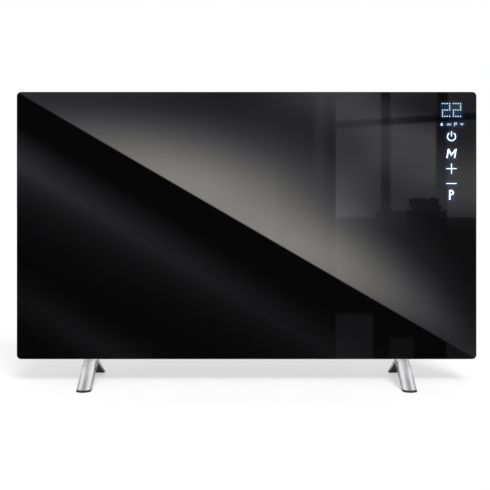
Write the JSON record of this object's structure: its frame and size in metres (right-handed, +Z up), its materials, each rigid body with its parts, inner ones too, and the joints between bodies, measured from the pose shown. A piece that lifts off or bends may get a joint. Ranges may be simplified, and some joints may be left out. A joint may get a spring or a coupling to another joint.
{
  "type": "infrared panel heater",
  "caption": "Flat black glass infrared panel heater with a lit touch display, a shallow vented steel case, inverted-V aluminium feet and a mains rocker switch.",
  "frame": {"origin": "on the floor, under the middle of the panel's width and midway between the front and rear feet", "axes": "+X to the right as seen from the front, +Y to the back, +Z up"},
  "size_m": [0.86, 0.2266, 0.545],
  "materials": {
    "black_glass": "gloss black toughened glass",
    "black_silicone": "matte silicone bead",
    "coated_steel": "fine black powder coat",
    "zinc_steel": "zinc-plated sheet",
    "satin_aluminium": "satin anodised",
    "black_rubber": "matte rubber",
    "mica": "pressed mica",
    "resistance_foil": "bright foil",
    "reflector_foil": "bright foil",
    "mineral_wool": "pressed fibre board",
    "brass": "bright brass",
    "dark_plastic": "fine moulded grain",
    "pale_plastic": "moulded",
    "circuit_board": "green solder mask",
    "rocker_plastic": "gloss black moulding",
    "conductive_foam": "grey foam"
  },
  "bodies": {
    "panel": {"front_glass": "black_glass", "glass_bead": "black_silicone", "glass_carrier": "zinc_steel", "rear_case": "coated_steel", "case_screws": "coated_steel", "mica_front": "mica", "heating_element": "resistance_foil", "mica_back": "mica", "element_terminals": "brass", "foil_reflector": "reflector_foil", "insulation_board": "mineral_wool", "retainer_straps": "zinc_steel", "thermal_cutouts": "pale_plastic", "ribbon_cable": "pale_plastic", "heat_shield": "zinc_steel", "control_tray": "dark_plastic", "display_board": "circuit_board", "display_standoffs": "brass", "led_digits": "pale_plastic", "icon_light_guide": "pale_plastic", "touch_pads": "conductive_foam", "power_board": "circuit_board", "board_standoffs": "brass", "power_relay": "dark_plastic", "transformer": "dark_plastic", "filter_capacitors": "dark_plastic", "fuse": "brass", "terminal_block": "pale_plastic", "wifi_module": "zinc_steel", "room_sensor": "pale_plastic", "earth_stud": "brass", "tilt_bracket": "pale_plastic", "tilt_pin": "zinc_steel", "tilt_light_gate": "dark_plastic", "switch_housing": "dark_plastic", "switch_terminals": "brass", "cord_gland": "dark_plastic", "gland_nut": "dark_plastic", "left_leg": "satin_aluminium", "right_leg": "satin_aluminium", "foot_pads": "black_rubber", "leg_screws": "zinc_steel", "leg_brackets": "zinc_steel"},
    "rocker": {"switch_rocker": "rocker_plastic"},
    "pendulum": {"tilt_pendulum": "brass"}
  },
  "joints": [
    {"name": "rocker_tilt", "type": "hinge", "parent": "panel", "child": "rocker", "pos_m": [0.4224, 0.005, 0.105], "axis": [0, 1, 0], "range_deg": [0, 20]},
    {"name": "pendulum_swing", "type": "hinge", "parent": "panel", "child": "pendulum", "pos_m": [0.38, 0.008, 0.372], "axis": [1, 0, 0], "range_deg": [-20, 20]}
  ]
}
